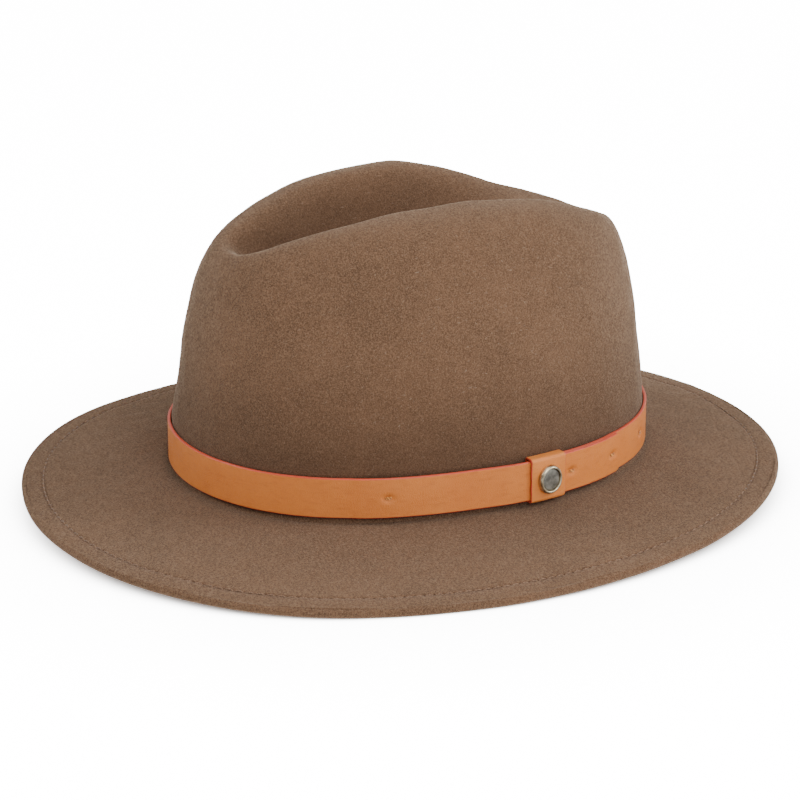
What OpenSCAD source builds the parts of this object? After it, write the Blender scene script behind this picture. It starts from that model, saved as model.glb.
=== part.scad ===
// Fedora hat: blocked wool felt with a teardrop crown, a leather strap with a
// sliding keeper and stud, a leather sweatband and a satin lining.
// Frame: +Z up, front of the hat towards -Y, wearer's left towards +X.
// Origin: middle of the head opening, on the plane the brim rests on.

/* [Crown] */
// outside length of the crown where the brim starts
crown_len = 213.4; // [196:0.1:236]
// outside width of the crown where the brim starts
crown_wid = 165.5; // [150:0.1:184]
// radius of the front and back arcs of the crown oval
end_r = 77.4; // [72:0.1:80]
// height of the side ridges above the lower edge of the strap
ridge_h = 118; // [100:0.5:130]
// half distance between the two side ridges
ridge_half = 34.8; // [28:0.1:42]
// how far forward the top rim reaches
rim_front = 85; // [76:0.5:90]
// how far back the top rim reaches
rim_back = 89; // [80:0.5:94]
// fall of the top rim at the very front
front_fall = 19; // [8:0.5:26]
// fall of the top rim at the very back
back_fall = 22.8; // [8:0.5:28]
// depth of the centre crease
crease_depth = 27.9; // [12:0.1:34]
// depth of the two front pinch dents
pinch = 4.6; // [0:0.1:9]
// extra height of the left ridge over the right one towards the back
back_lean = 4; // [0:0.5:6]

/* [Felt and Brim] */
// thickness of the felt
felt_t = 1.8; // [1.4:0.1:2.6]
// brim width at the front and back
brim_end_w = 64.3; // [50:0.1:75]
// brim width at the sides
brim_side_w = 62.7; // [50:0.1:75]
// mean height of the brim edge below the lower edge of the strap
brim_drop = 11.5; // [4:0.1:16]
// width of the turned-under hem at the brim edge
hem_w = 11.6; // [9:0.1:16]
// distance of the hem stitching from the brim edge
stitch_in = 9.6; // [6:0.1:12]
// stitches around the brim
brim_stitches = 216; // [160:4:260]
// thickness of the sewing thread on the brim
brim_thread = 0.6; // [0.4:0.05:0.8]

/* [Strap] */
// height of the strap
strap_h = 17.6; // [12:0.1:22]
// thickness of the strap leather
strap_t = 1.4; // [1.2:0.05:1.8]
// gap between strap and felt
strap_gap = 0.35; // [0.25:0.05:0.6]
// extra lift of the strap where the keeper runs behind it
keeper_lift = 1.3; // [1.2:0.05:1.6]
// angle about the left side arc where the strap tip ends
tip_angle = 28; // [22:0.5:30]

/* [Keeper and Stud] */
// width of the keeper along the strap
keeper_w = 17; // [14:0.5:24]
// thickness of the keeper leather
keeper_t = 1; // [0.8:0.05:1.2]
// rest position of the keeper about the left side arc
keeper_angle = 8.5; // [6:0.1:10.8]
// width of the stud
stud_w = 11.4; // [8:0.1:12]
// height of the stud
stud_h = 12.6; // [10:0.1:14]
// height the stud stands off the keeper
stud_t = 2.4; // [1.6:0.1:3.2]

/* [Sweatband] */
// height of the sweatband
sweat_h = 31; // [26:0.5:36]
// thickness of the sweatband leather
sweat_t = 0.9; // [0.7:0.05:1.2]
// inward lean of the sweatband over its height
sweat_lean = 3; // [2:0.1:4.5]
// radius of the plastic reed
reed_r = 0.9; // [0.7:0.05:1]
// thickness of the tape around the reed
tape_t = 0.35; // [0.3:0.05:0.4]
// stitches around the sweatband
sweat_stitches = 132; // [100:4:150]

/* [Lining and Labels] */
// thickness of the satin lining
lining_t = 0.4; // [0.3:0.05:0.6]
// gap between felt and lining
lining_gap = 0.6; // [0.5:0.05:1.2]
// thickness of the labels
label_t = 0.4; // [0.3:0.05:0.6]
// radius of the cord in the lining seam
cord_r = 0.9; // [0.6:0.1:1.2]

/* [Hidden] */
// height of the lower strap edge above the resting plane
band_z = 19.1;
half_l = crown_len / 2;
half_w = crown_wid / 2;
end_c = half_l - end_r;
side_r = (end_r * end_r - half_w * half_w - end_c * end_c) / (2 * (end_r - half_w));
side_c = side_r - half_w;
join_a = atan2(end_c, side_c);
// hair's breadth by which neighbouring arcs run into each other, in degrees
arc_lap = 0.001;
// the crown wall is upright behind the strap up to this height
wall_top = 17.9;
wall_foot = -0.9;
keeper_half = keeper_w / 2 / side_r * 180 / PI;
loop_in = strap_gap + keeper_t + 0.2;
strap_out = strap_gap + keeper_lift + 2 * strap_t + 0.15;
loop_out = strap_out + 0.6;
sweat_d = -felt_t - 1.25;
reed_d = sweat_d - sweat_t / 2 - 0.1;
reed_z = -3.2;
tape_in = reed_r + 0.2;
tape_out = tape_in + tape_t;
tape_top = 6;
lining_low = 8.5;
seam_v = 1.5;
tiny_w = 0.6;
felt_n = 80;
soft_n = 64;
loop_n = 72;
tack_angles = [-16.5, 13.2, 24.2, 46];
tack_z = strap_h / 2;
stud_z = strap_h / 2;
label_l = 46;
label_w = 30;
care_a = 118;
size_a = 180;
bow_a = 90;
// the bow stands this far in from the foot of the band, so its straight loops
// clear the curved leather behind them
bow_clear = 3.6;
bow_low = 5;
bow_h = 5;
bow_len = 11;
bow_deep = 2.6;
knot_t = 2.2;
knot_w = 3.2;
tail_t = 0.6;
tail_w = 3;
tail_len = 8;
tail_splay = 24;
// tacking stitches that hold the woven label to the lining
tack_len = 2.4;
tack_pitch = 4;
tack_w = 0.4;
tack_t = 0.3;
tack_in = 1.2;
size_w = 12;
size_h = 13;
care_w = 18;
care_h = 25;

// ---- curve helpers ----
function sq(x) = x * x;
function clamp01(x) = max(0, min(1, x));
function smooth(x) = sq(clamp01(x)) * (3 - 2 * clamp01(x));
function spow(x, e) = sign(x) * pow(abs(x), e);
function bez(p, q, r, s, t) =
  pow(1 - t, 3) * p + 3 * t * sq(1 - t) * q + 3 * t * t * (1 - t) * r + pow(t, 3) * s;
function unit(v) = v / norm(v);
// weight a front, back and side value around the oval
function mix3(a, f, b, s) = s * sq(cos(a)) + (sin(a) < 0 ? f : b) * sq(sin(a));

// point on the four-arc head oval with outward direction a, moved out by d
function oval(a, d) =
  abs(sin(a)) < sin(join_a)
  ? [(side_r + d) * cos(a) - side_c * sign(cos(a)), (side_r + d) * sin(a)]
  : [(end_r + d) * cos(a), (end_r + d) * sin(a) + end_c * sign(sin(a))];

// ---- crown surface ----
function plan_angle(a) = let (p = oval(a, 0)) atan2(p[1] / half_l, p[0] / half_w);
function rim_xy(a) =
  let (g = plan_angle(a), e = sin(g) < 0 ? 2 / 2.45 : 2 / 2.82)
  [
    ridge_half * spow(cos(g), e),
    (rim_back - rim_front) / 2 + (rim_back + rim_front) / 2 * spow(sin(g), e)
  ];
ridge_y = 10.2;
function ridge_z(y) =
  ridge_h
  - front_fall * pow(max(0, ridge_y - y) / (ridge_y + rim_front), 2.41)
  - back_fall * pow(max(0, y - ridge_y) / (rim_back - ridge_y), 1.5);
function rim_z(p) =
  ridge_z(p[1]) + back_lean * p[0] / 31 * smooth((p[1] - 5) / 62);
function pinched(p) =
  let (
    u = exp(-sq((p[1] + 63.8) / 20.6)) * exp(-sq((p[2] - 90.5) / 26.8)),
    s = smooth(abs(p[0]) / 25.7)
  )
  [p[0] - sign(p[0]) * pinch * u * s, p[1], p[2]];
function wall_pt(a, t) =
  let (
    n = [cos(a), sin(a)],
    p0 = oval(a, 0),
    r = rim_xy(a),
    zr = rim_z(r),
    z1 = wall_top + mix3(a, 0.453, 0.648, 0.478) * (zr - wall_top),
    p1 = p0 - n * mix3(a, 0.144, 0.082, 0.095) * (z1 - wall_top),
    p2 = r + (p0 - r) * mix3(a, 0.485, 0.463, 0.637),
    q = bez(p0, p1, p2, r, t)
  )
  pinched([q[0], q[1], bez(wall_top, z1, zr, zr, t)]);
crease_front = rim_front - 14.4;
crease_back = rim_back - 16.5;
crease_peak = pow(0.4, 0.8) * pow(0.6, 1.2);
function crease_z(y) =
  let (t = clamp01((y + rim_front) / (rim_back + rim_front)))
  ridge_z(y) - crease_depth * pow(t, 0.8) * pow(1 - t, 1.2) / crease_peak;
function crease_y(a) =
  (crease_back - crease_front) / 2
  + (crease_back + crease_front) / 2 * sin(plan_angle(a));
function top_pt(a, t) =
  let (
    r = rim_xy(a),
    zr = rim_z(r),
    v = [tiny_w * cos(plan_angle(a)), crease_y(a)],
    zv = crease_z(v[1]),
    q = bez(r, r + (v - r) * 0.35, v + (r - v) * 0.5, v, t)
  )
  pinched([q[0], q[1], bez(zr, zr, zv, zv, t)]);

// ---- brim surface ----
function brim_w(a) =
  brim_end_w * sq(sin(a)) + brim_side_w * sq(cos(a)) - 1.6 * sin(a) - 2.5 * cos(a);
function edge_z(a) =
  -brim_drop - 1.66 * cos(2 * a) + 0.45 * sin(a) - 2.12 * cos(a)
  + 1.79 * sin(2 * a) - 0.47 * cos(4 * a);
foot_w = 2.5;
foot_z = -2.9;
function brim_z(a, d) =
  let (t = (d - foot_w) / (brim_w(a) - foot_w))
  foot_z + (edge_z(a) - foot_z) * (1.3 * t - 0.3 * t * t);
function brim_pt(a, d, dz) =
  let (p = oval(a, d))
  [p[0], p[1], brim_z(a, d) + dz];
function foot_pt(a, t) =
  let (
    d = bez(0, 0, 0.9, foot_w, t),
    p = oval(a, d)
  )
  [p[0], p[1], bez(wall_foot, wall_foot - 1.5, foot_z + 0.1, foot_z, t)];

// whole outer face: v 0 crease, 1 rim, 2 top of upright wall, 3 wall foot,
// 4 start of the brim, 5 brim edge
function face_pt(a, v) =
  v <= 1 ? top_pt(a, 1 - v)
  : v <= 2 ? wall_pt(a, 2 - v)
  : v <= 3
  ? let (p = oval(a, 0)) [p[0], p[1], wall_top + (wall_foot - wall_top) * (v - 2)]
  : v <= 4 ? foot_pt(a, v - 3)
  : brim_pt(a, foot_w + (brim_w(a) - foot_w) * (v - 4), 0);
eps_a = 0.4;
eps_v = 0.01;
function face_n(a, v) =
  unit(cross(
    face_pt(a + eps_a, v) - face_pt(a - eps_a, v),
    face_pt(a, max(0, v - eps_v)) - face_pt(a, v + eps_v)
  ));
function under_pt(a, v, t) =
  v == 0
  ? face_pt(a, 0) - [0, 0, t]
  : face_pt(a, v) - t * face_n(a, v);
function edge_pt(a, s) =
  let (r = felt_t, w = brim_w(a) - 0.6 * r)
  brim_pt(a, w + 0.6 * r * cos(s), -r + r * sin(s));

function ring_angle(j, n) = -90 + (j + 0.5) * 360 / n;

// ---- mesh helpers ----
// closed skin through a list of rings, ends joined to each other
module ring_loop(rings) {
  m = len(rings);
  n = len(rings[0]);
  polyhedron(
    points = [for (r = rings) for (p = r) p],
    faces = [
      for (i = [0 : m - 1])
        for (j = [0 : n - 1])
          let (k = (i + 1) % m, l = (j + 1) % n)
            each [
              [i * n + j, i * n + l, k * n + l],
              [i * n + j, k * n + l, k * n + j]
            ]
    ]
  );
}
// skin through rings, with both end rings closed across their narrow side
module ring_sack(rings) {
  m = len(rings);
  n = len(rings[0]);
  b = (m - 1) * n;
  polyhedron(
    points = [for (r = rings) for (p = r) p],
    faces = concat(
      [
        for (i = [0 : m - 2])
          for (j = [0 : n - 1])
            let (l = (j + 1) % n)
              each [
                [i * n + j, i * n + l, (i + 1) * n + l],
                [i * n + j, (i + 1) * n + l, (i + 1) * n + j]
              ]
      ],
      [
        for (j = [0 : n / 2 - 2])
          each [
            [j, n - 1 - j, n - 2 - j],
            [j, n - 2 - j, j + 1]
          ]
      ],
      [
        for (j = [0 : n / 2 - 2])
          each [
            [b + j, b + n - 2 - j, b + n - 1 - j],
            [b + j, b + j + 1, b + n - 2 - j]
          ]
      ]
    )
  );
}
// thread or cord along a closed path with outward directions
module cord_loop(path, dirs, r, sides) {
  ring_loop([
    for (s = [0 : sides - 1])
      [
        for (j = [0 : len(path) - 1])
          path[j]
          + r * cos(s * 360 / sides + 45) * dirs[j]
          - [0, 0, r * sin(s * 360 / sides + 45)]
      ]
  ]);
}
// skin of a flat profile, given clockwise as (offset, height), around the head oval
module profile_loop(profile) {
  ring_loop([
    for (q = profile)
      [
        for (j = [0 : loop_n - 1])
          let (p = oval(ring_angle(j, loop_n), q[0]))
            [p[0], p[1], q[1]]
      ]
  ]);
}
// flat profile in (offset, height) swept exactly along the head oval
module oval_sweep() {
  for (s = [0, 1, 2, 3])
    translate([[-side_c, 0, side_c, 0][s], [0, end_c, 0, -end_c][s], 0])
      rotate_extrude(
        angle = s % 2 == 0 ? 2 * join_a : 180 - 2 * join_a + 2 * arc_lap,
        start = s * 90 - (s % 2 == 0 ? join_a : 90 - join_a + arc_lap),
        $fn = 360
      )
        translate([s % 2 == 0 ? side_r : end_r, 0])
          children();
}
// place things on the head oval: local x outward, local y along the oval
module at_oval(a, d, z) {
  p = oval(a, d);
  translate([p[0], p[1], z])
    rotate([0, 0, a])
      children();
}

// ---- felt ----
top_rows = [0, 0.08, 0.18, 0.32, 0.47, 0.62, 0.77, 0.9];
wall_rows = [1, 1.09, 1.19, 1.3, 1.42, 1.54, 1.66, 1.78, 1.9];
foot_rows = [2, 3, 3.35, 3.65];
brim_rows = [4, 4.25, 4.5, 4.75];
under_rows = [4.7, 4.4, 4, 3.6, 3, 2, 1.86, 1.7, 1.54, 1.38, 1.22, 1.08, 0.95, 0.75, 0.5, 0.3, 0.15, 0];
groove = 0.45;
module felt_body() {
  color("saddlebrown")
    translate([0, 0, band_z])
      ring_sack(concat(
        [
          for (v = concat(top_rows, wall_rows, foot_rows, brim_rows))
            [for (j = [0 : felt_n - 1]) face_pt(ring_angle(j, felt_n), v)]
        ],
        [
          for (g = [[1.1, 0], [0.5, -groove], [-0.5, -groove], [-1.1, 0]])
            [
              for (j = [0 : felt_n - 1])
                let (a = ring_angle(j, felt_n))
                  brim_pt(a, brim_w(a) - stitch_in - g[0], g[1])
            ]
        ],
        [
          for (s = [90, 45, 0, -45, -90])
            [for (j = [0 : felt_n - 1]) edge_pt(ring_angle(j, felt_n), s)]
        ],
        [
          for (g = [[0.6, 2 * felt_t], [0, 1.6 * felt_t], [-0.4, felt_t]])
            [
              for (j = [0 : felt_n - 1])
                let (a = ring_angle(j, felt_n))
                  brim_pt(a, brim_w(a) - hem_w + g[0], -g[1])
            ]
        ],
        [
          for (v = under_rows)
            [for (j = [0 : felt_n - 1]) under_pt(ring_angle(j, felt_n), v, felt_t)]
        ]
      ));
}

module brim_stitching() {
  n = 2 * brim_stitches;
  angles = [for (j = [0 : n - 1]) ring_angle(j, n)];
  color("peru")
    translate([0, 0, band_z])
      cord_loop(
        [
          for (j = [0 : n - 1])
            let (a = angles[j])
              brim_pt(a, brim_w(a) - stitch_in, brim_thread * (j % 2 == 0 ? 0.15 : 0.4))
        ],
        [for (a = angles) [cos(a), sin(a), 0]],
        brim_thread / 2,
        4
      );
}

// ---- strap ----
lift_in = 15;
lift_out = 26;
lap_start = -4;
lap_full = 5;
function strap_lift(a) =
  keeper_lift * (1 - smooth((abs(a) - lift_in) / (lift_out - lift_in)));
// inner face of the strap as it leaves the lower end and passes behind the tip
function strap_in(a) = strap_gap + strap_lift(a);
function lap_lift(a) = (strap_t + 0.15) * smooth((a - lap_start) / (lap_full - lap_start));
lap_end = lap_full + 2;
module strap_plan() {
  n = 150;
  first = tip_angle;
  last = lap_end - 360;
  run = [for (i = [0 : n]) first + (last - first) * i / n];
  function lift_at(a) =
    a > -180
    ? strap_in(a) + (a < lap_end ? lap_lift(a) : strap_t + 0.15)
    : strap_in(a + 360);
  polygon(concat(
    [for (a = run) oval(a, lift_at(a))],
    [for (i = [n : -1 : 0]) oval(run[i], lift_at(run[i]) + strap_t)]
  ));
}
module hatband_strap() {
  color("chocolate")
    translate([0, 0, band_z])
      difference() {
        linear_extrude(height = strap_h)
          strap_plan();
        for (a = tack_angles)
          for (s = [-1, 1])
            at_oval(a, 0, tack_z)
              translate([0, s * 1.2, 0])
                rotate([0, 90, 0])
                  cylinder(r = 0.45, h = 8, $fn = 24);
      }
}
function tack_face(a) =
  strap_in(a) + strap_t + (a > lap_start && a < tip_angle ? lap_lift(a) : 0);
module strap_tacks() {
  color("goldenrod")
    translate([0, 0, band_z])
      for (a = tack_angles)
        at_oval(a, 0, tack_z) {
          for (s = [-1, 1])
            translate([-0.8, s * 1.2, 0])
              rotate([0, 90, 0])
                cylinder(r = 0.28, h = tack_face(a) + 1.2, $fn = 24);
          translate([tack_face(a) + 0.4, -1.48, 0])
            rotate([-90, 0, 0])
              cylinder(r = 0.28, h = 2.96, $fn = 24);
        }
}

// ---- keeper and stud ----
module strap_keeper() {
  color("sandybrown")
    translate([0, 0, band_z])
      difference() {
        translate([-side_c, 0, 0])
          rotate_extrude(angle = 2 * keeper_half, start = keeper_angle - keeper_half, $fn = 360)
            translate([side_r, 0])
              difference() {
                translate([strap_gap, -0.15 - keeper_t])
                  square([loop_out + keeper_t - strap_gap, strap_h + 0.3 + 2 * keeper_t]);
                translate([loop_in - 0.2, -0.15])
                  square([loop_out - loop_in + 0.2, strap_h + 0.3]);
              }
        stud_prongs(0.05);
      }
}
module stud_prongs(gap) {
  at_oval(keeper_angle, loop_out - 0.4, stud_z)
    for (s = [-1, 1])
      translate([-gap, -0.8 - gap, s * 3 - 0.35 - gap])
        cube([keeper_t + 0.5 + gap, 1.6 + 2 * gap, 0.7 + 2 * gap]);
}
// oval disc facing outward, from offset d to d + t
module stud_disc(d, t, w, h) {
  at_oval(keeper_angle, d, stud_z)
    rotate([0, 90, 0])
      rotate([0, 0, 90])
        linear_extrude(height = t)
          scale([w / 2, h / 2])
            circle(r = 1, $fn = 60);
}
module stud_body() {
  base = loop_out + keeper_t + 0.05;
  color("darkgoldenrod")
    translate([0, 0, band_z]) {
      difference() {
        union() {
          stud_disc(base, stud_t - 0.5, stud_w, stud_h);
          stud_disc(base + stud_t - 0.6, 0.6, stud_w - 0.8, stud_h - 0.8);
        }
        stud_disc(base + 1, stud_t, stud_w - 2.8, stud_h - 2.8);
      }
      stud_prongs(0);
    }
}
module stud_face() {
  base = loop_out + keeper_t + 1.05;
  color("dimgray")
    translate([0, 0, band_z]) {
      stud_disc(base, 0.5, stud_w - 2.9, stud_h - 2.9);
      stud_disc(base + 0.4, 0.4, stud_w - 4.2, stud_h - 4.2);
    }
}
module stud_backplate() {
  color("silver")
    translate([0, 0, band_z])
      difference() {
        at_oval(keeper_angle, loop_out - 0.4, stud_z)
          translate([0, -2.2, -4.5])
            cube([0.3, 4.4, 9]);
        stud_prongs(0.05);
      }
}

// ---- sweatband ----
module sweatband() {
  color("tan")
    translate([0, 0, band_z])
      oval_sweep()
        polygon([
          [sweat_d, -1.5],
          [sweat_d - sweat_lean, sweat_h - 1.5],
          [sweat_d - sweat_lean - sweat_t, sweat_h - 1.5],
          [sweat_d - sweat_t, -1.5]
        ]);
}
module sweatband_reed() {
  color("white")
    translate([0, 0, band_z])
      profile_loop([
        for (t = [0 : 45 : 315])
          [reed_d + reed_r * cos(t), reed_z - reed_r * sin(t)]
      ]);
}
// strip of tape: tail between felt and sweatband, then wrapped round the reed
wrap_angles = [0 : 50 : 300];
module reed_tape() {
  color("darkslategray")
    translate([0, 0, band_z])
      profile_loop(concat(
        [[reed_d + tape_out, tape_top]],
        [for (t = wrap_angles) [reed_d + tape_out * cos(t), reed_z - tape_out * sin(t)]],
        [for (t = [300 : -50 : 0]) [reed_d + tape_in * cos(t), reed_z - tape_in * sin(t)]],
        [[reed_d + tape_in, tape_top]]
      ));
}
module sweatband_stitching() {
  n = 2 * sweat_stitches;
  r = 0.25;
  base = sweat_d - sweat_t - r - 0.12;
  color("saddlebrown")
    translate([0, 0, band_z])
      cord_loop(
        [
          for (j = [0 : n - 1])
            let (
              a = ring_angle(j, n),
              p = oval(a, base - 0.15 - (j % 2 == 0 ? 0 : 0.15))
            )
              [p[0], p[1], 0.6]
        ],
        [for (j = [0 : n - 1]) let (a = ring_angle(j, n)) [cos(a), sin(a), 0]],
        r,
        4
      );
}
module bow_loop(w, h) {
  difference() {
    scale([w / 2, h / 2])
      circle(r = 1, $fn = 48);
    scale([w / 2 - 0.5, h / 2 - 0.5])
      circle(r = 1, $fn = 48);
  }
}
module sweatband_bow() {
  color("black")
    translate([0, 0, band_z])
      at_oval(bow_a, sweat_d - sweat_t - bow_clear, bow_low) {
        for (s = [-1, 1])
          translate([0, s * bow_len * 0.56, 0])
            linear_extrude(height = bow_h)
              rotate(90)
                bow_loop(bow_len, bow_deep);
        translate([-knot_t / 2, -knot_w / 2, -0.5])
          cube([knot_t, knot_w, bow_h + 1]);
        for (s = [-1, 1])
          translate([-tail_t / 2, s * 0.4, 0.4])
            rotate([s * tail_splay, 0, 0])
              translate([0, -tail_w / 2, -tail_len])
                cube([tail_t, tail_w, tail_len]);
      }
}

// ---- lining ----
function lining_pt(a, v, t) =
  v <= 2
  ? under_pt(a, v, felt_t + lining_gap + t)
  : let (p = oval(a, -felt_t - lining_gap - t)) [p[0], p[1], lining_low];
side_rows = [2.5, 2, 1.86, 1.72, 1.58, seam_v];
module lining_side() {
  function row(v, t) =
    [for (j = [0 : soft_n - 1]) lining_pt(ring_angle(j, soft_n), v, t)];
  color("burlywood")
    translate([0, 0, band_z])
      ring_loop(concat(
        [for (v = side_rows) row(v, lining_t)],
        [for (i = [len(side_rows) - 1 : -1 : 0]) row(side_rows[i], 0)]
      ));
}
tip_clear = 5;
function tip_pt(a, t, drop) =
  let (
    s = lining_pt(a, seam_v, lining_t + 0.5),
    v = [tiny_w * cos(plan_angle(a)), crease_y(a)],
    c = [v[0], v[1], crease_z(v[1]) - felt_t - tip_clear],
    q = s + (c - s) * 0.3
  )
  bez(s, [q[0], q[1], s[2]], c + ([s[0], s[1], c[2]] - c) * 0.6, c, t)
  - [0, 0, drop];
tip_rows = [0, 0.16, 0.36, 0.6, 0.82, 1];
module lining_tip() {
  function row(t, drop) =
    [for (j = [0 : soft_n - 1]) tip_pt(ring_angle(j, soft_n), t, drop)];
  color("wheat")
    translate([0, 0, band_z])
      ring_sack(concat(
        [for (i = [len(tip_rows) - 1 : -1 : 0]) row(tip_rows[i], 0)],
        [for (t = tip_rows) row(t, lining_t)]
      ));
}
module lining_cord() {
  color("maroon")
    translate([0, 0, band_z])
      cord_loop(
        [
          for (j = [0 : soft_n - 1])
            let (a = ring_angle(j, soft_n))
              tip_pt(a, 0, cord_r + lining_t + 0.3) - 0.3 * [cos(a), sin(a), 0]
        ],
        [for (j = [0 : soft_n - 1]) let (a = ring_angle(j, soft_n)) [cos(a), sin(a), 0]],
        cord_r,
        6
      );
}
label_z = crease_z(0) - felt_t - tip_clear - lining_t - 4.2;
module woven_label() {
  color("ivory")
    translate([0, 0, band_z + label_z - label_t])
      linear_extrude(height = label_t)
        square([label_w, label_l], center = true);
}
module label_stitches() {
  color("darkred")
    translate([0, 0, band_z + label_z - label_t - tack_t - 0.05])
      for (s = [-1, 1]) {
        for (i = [-5 : 5])
          translate([s * (label_w / 2 - tack_in) - tack_w / 2, i * tack_pitch - tack_len / 2, 0])
            cube([tack_w, tack_len, tack_t]);
        for (i = [-3 : 3])
          translate([i * tack_pitch - tack_len / 2, s * (label_l / 2 - tack_in) - tack_w / 2, 0])
            cube([tack_len, tack_w, tack_t]);
      }
}
// hanging cloth label whose rounded fold lies at height fold_z, its hinge line
module folded_label(w, h, fold_z) {
  translate([0, -w / 2, fold_z < h / 2 ? fold_z : 0])
    cube([label_t, w, h - label_t / 2]);
  translate([label_t / 2, -w / 2, fold_z])
    rotate([-90, 0, 0])
      cylinder(h = w, r = label_t / 2);
}
module size_tab() {
  color("snow")
    translate([0, 0, band_z])
      at_oval(size_a, sweat_d - sweat_lean - sweat_t / 2 - label_t / 2 - 0.1, sweat_h - 1.2)
        folded_label(size_w, size_h, label_t / 2);
}
module care_label() {
  color("whitesmoke")
    translate([0, 0, band_z])
      at_oval(care_a, sweat_d - sweat_lean - sweat_t - 0.75 - label_t, 3)
        folded_label(care_w, care_h, care_h - label_t / 2);
}

felt_body();
brim_stitching();
hatband_strap();
strap_tacks();
strap_keeper();
stud_body();
stud_face();
stud_backplate();
sweatband();
sweatband_reed();
reed_tape();
sweatband_stitching();
sweatband_bow();
lining_side();
lining_tip();
lining_cord();
woven_label();
label_stitches();
size_tab();
care_label();
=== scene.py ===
import math

import bpy
import bmesh
import numpy as np
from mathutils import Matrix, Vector


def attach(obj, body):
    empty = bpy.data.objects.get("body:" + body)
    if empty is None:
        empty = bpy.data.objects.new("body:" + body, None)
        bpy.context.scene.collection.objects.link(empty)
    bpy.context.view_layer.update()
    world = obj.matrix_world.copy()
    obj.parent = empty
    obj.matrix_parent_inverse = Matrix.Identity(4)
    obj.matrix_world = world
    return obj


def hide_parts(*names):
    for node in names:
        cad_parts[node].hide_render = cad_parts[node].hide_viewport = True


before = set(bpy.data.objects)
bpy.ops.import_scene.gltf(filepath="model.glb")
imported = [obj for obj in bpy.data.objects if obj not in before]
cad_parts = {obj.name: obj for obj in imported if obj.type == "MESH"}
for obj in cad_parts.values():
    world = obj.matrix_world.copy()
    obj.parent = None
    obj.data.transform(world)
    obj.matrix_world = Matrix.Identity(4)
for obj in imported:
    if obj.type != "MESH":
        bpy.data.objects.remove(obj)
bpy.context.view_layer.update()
MM = 0.001
UP = np.array([0.0, 0.0, 1.0])

# ---- hat shape
# Lengths in millimetres, angles in radians; the same rules as the CAD source.
HALF_L, HALF_W, END_R = 106.7, 82.75, 77.4
END_C = HALF_L - END_R
SIDE_R = (END_R**2 - HALF_W**2 - END_C**2) / (2 * (END_R - HALF_W))
SIDE_C = SIDE_R - HALF_W
JOIN = math.atan2(END_C, SIDE_C)
BAND_Z = 19.1
# crown: ridge height and half spacing, reach of the top rim to the front and the back
RIDGE_H, RIDGE_HALF, RIM_F, RIM_B = 118.0, 34.8, 85.0, 89.0
# how square the rim's front and back ends are
RIM_F_POWER, RIM_B_POWER = 2.45, 2.82
# the ridges peak at RIDGE_Y and fall from there to the front and the back
RIDGE_Y, FRONT_FALL, BACK_FALL, FRONT_CURVE, BACK_CURVE = 10.2, 19.0, 22.8, 2.41, 1.5
# the back of one ridge stands higher than the other
LEAN, LEAN_FROM, LEAN_LEN, LEAN_WIDE = 4.0, 5.0, 62.0, 31.0
# crease: depth, the run of its depth from front to back, half width, distance from the rim
CREASE, CREASE_A, CREASE_B, CREASE_W = 27.9, 0.8, 1.2, 0.6
CREASE_F, CREASE_BACK = RIM_F - 14.4, RIM_B - 16.5
# front dents: depth, middle, and how far they spread along, up and across
PINCH, PINCH_Y, PINCH_Z, PINCH_LEN, PINCH_TALL, PINCH_WIDE = 4.6, -63.8, 90.5, 20.6, 26.8, 25.7
# Bezier handles of the wall line at the front, the back and the sides
WALL_RISE, WALL_INSET, WALL_OUT = (0.453, 0.648, 0.478), (0.144, 0.082, 0.095), (0.485, 0.463, 0.637)
WALL_TOP, WALL_FOOT, FOOT_W, FOOT_Z = 17.9, -0.9, 2.5, -2.9
# brim: width at the ends and sides, and how much wider it is at the front and on one side
BRIM_END_W, BRIM_SIDE_W, BRIM_MORE_Y, BRIM_MORE_X, BRIM_DROP = 64.3, 62.7, 1.6, 2.5, 11.5
FELT_T, HEM_W, STITCH_IN = 1.8, 11.6, 9.6
STRAP_H, STRAP_T, STRAP_GAP, KEEPER_LIFT = 17.6, 1.4, 0.35, 1.3
TIP_A = math.radians(28.0)
KEEPER_W, KEEPER_T, KEEPER_A = 17.0, 1.0, math.radians(8.5)
STRAP_OUT = STRAP_GAP + KEEPER_LIFT + 2 * STRAP_T + 0.15
LOOP_OUT = STRAP_OUT + 0.6
SWEAT_D, SWEAT_T, SWEAT_LEAN, SWEAT_H = -FELT_T - 1.25, 0.9, 3.0, 31.0
REED_D, REED_Z, REED_R = SWEAT_D - SWEAT_T / 2 - 0.1, -3.2, 0.9
# height of the sweatband's stitches, and where its lower and upper edges are
STITCH_Z, SWEAT_LOW, SWEAT_TOP = 0.6, -1.5, SWEAT_H - 1.9
LINING_GAP, LINING_T, LINING_LOW, SEAM_V, CORD_R = 0.6, 0.4, 8.5, 1.5, 0.82
TIP_CLEAR, BOW_CLEAR = 5.0, 3.6
TACKS = [math.radians(t) for t in (-16.5, 13.2, 24.2, 46.0)]
STUD_W, STUD_H = 11.4, 12.6
STITCHES, SWEAT_STITCHES, GATHERS = 216, 132, 96
BRIM_THREAD_R, TACK_THREAD_R, SWEAT_THREAD_R, LABEL_THREAD_R = 0.27, 0.26, 0.22, 0.14


def smooth(x):
    """0 below 0, 1 above 1 and a smooth step between."""
    x = np.clip(x, 0, 1)
    return x * x * (3 - 2 * x)


def spow(x, e):
    """Power that keeps the sign."""
    return np.sign(x) * np.abs(x) ** e


def bez(p, q, r, s, t):
    """Cubic Bezier value at t."""
    return (1 - t) ** 3 * p + 3 * t * (1 - t) ** 2 * q + 3 * t * t * (1 - t) * r + t**3 * s


def mix3(a, values):
    """Blend of a front, a back and a side value at direction a."""
    front, back, side = values
    return side * np.cos(a) ** 2 + np.where(np.sin(a) < 0, front, back) * np.sin(a) ** 2


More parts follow.
